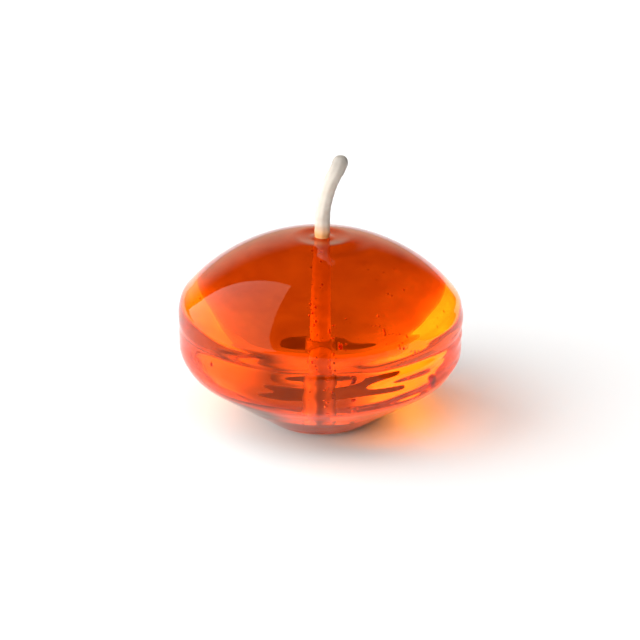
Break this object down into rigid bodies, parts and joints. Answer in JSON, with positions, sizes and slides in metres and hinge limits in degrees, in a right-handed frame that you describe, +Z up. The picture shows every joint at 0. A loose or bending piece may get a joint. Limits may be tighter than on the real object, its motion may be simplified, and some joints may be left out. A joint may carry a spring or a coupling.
{
  "type": "floating candle",
  "caption": "Low domed gel candle with a conical underside that rides in water, and a waxed cotton wick held by a round metal sustainer.",
  "frame": {"origin": "centre of the flat base, in the plane that the candle stands on", "axes": "+Z up along the candle's axis, +X to the side that the wick leans to, +Y to the back"},
  "size_m": [0.045, 0.045, 0.0437],
  "materials": {
    "gel": "clear orange candle gel, glossy from a polished mould",
    "sustainer": "pressed tinplate, dull from the melt",
    "wick": "braided cotton dipped in wax"
  },
  "bodies": {
    "root": {"gel_body": "gel", "wick_sustainer": "sustainer", "wick": "wick"}
  },
  "joints": []
}
